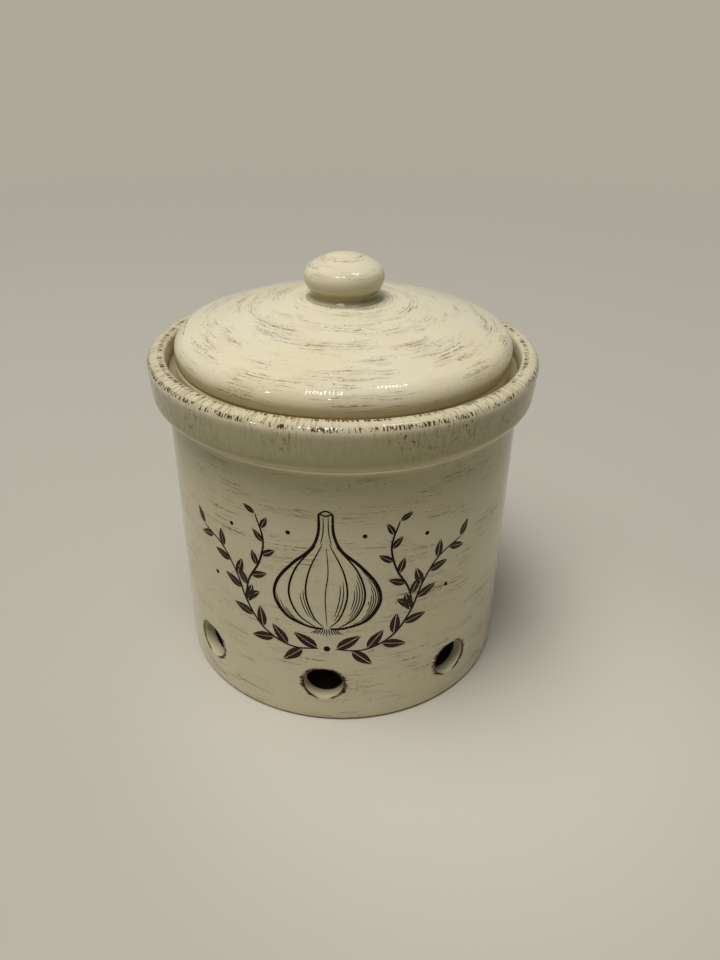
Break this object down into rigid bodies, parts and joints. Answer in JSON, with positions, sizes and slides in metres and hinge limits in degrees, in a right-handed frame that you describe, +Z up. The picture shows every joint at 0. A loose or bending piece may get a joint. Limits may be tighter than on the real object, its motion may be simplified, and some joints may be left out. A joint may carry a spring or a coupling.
{
  "type": "garlic keeper",
  "caption": "Round glazed ceramic crock with a thick collar, vent holes low in its wall and a domed lid with a mushroom knob resting inside the rim.",
  "frame": {"origin": "centre of the foot, on the surface that the crock stands on", "axes": "+Z up along the crock's turning axis, -Y towards the front, where one vent hole faces"},
  "size_m": [0.1398, 0.1398, 0.1561],
  "materials": {
    "ivory_glaze": "glossy warm ivory glaze with dry-brushed brown streaks and worn brown edges",
    "brown_print": "dark brown transfer print under a thin clear glaze",
    "bare_clay": "matte unglazed fired clay on the foot ring"
  },
  "bodies": {
    "crock": {"crock": "ivory_glaze"},
    "lid": {"lid": "ivory_glaze", "knob": "ivory_glaze"}
  },
  "joints": [
    {"name": "lid_lift", "type": "slide", "parent": "crock", "child": "lid", "axis": [0, 0, 1], "range_m": [0, 0.06]}
  ]
}
